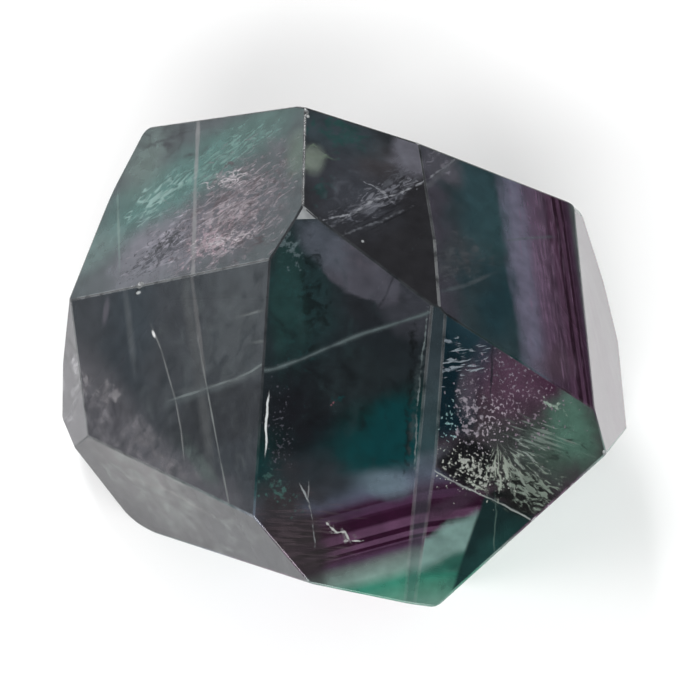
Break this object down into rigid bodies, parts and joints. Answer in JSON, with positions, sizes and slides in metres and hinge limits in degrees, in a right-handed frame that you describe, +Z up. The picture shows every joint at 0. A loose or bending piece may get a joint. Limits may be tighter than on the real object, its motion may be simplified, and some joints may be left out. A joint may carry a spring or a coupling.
{
  "type": "polished fluorite stone",
  "caption": "Palm-sized polished freeform of dark banded fluorite with flat ground facets, resting on a flat base facet.",
  "frame": {"origin": "middle of the footprint box, on the flat base facet", "axes": "+Z up from the base facet; the large show facet faces -Y and up; +X to the right seen from the show side"},
  "size_m": [0.0751, 0.076, 0.0418],
  "materials": {
    "fluorite": "polished, translucent, dark teal to purple growth bands"
  },
  "bodies": {
    "root": {"fluorite_stone": "fluorite"}
  },
  "joints": []
}
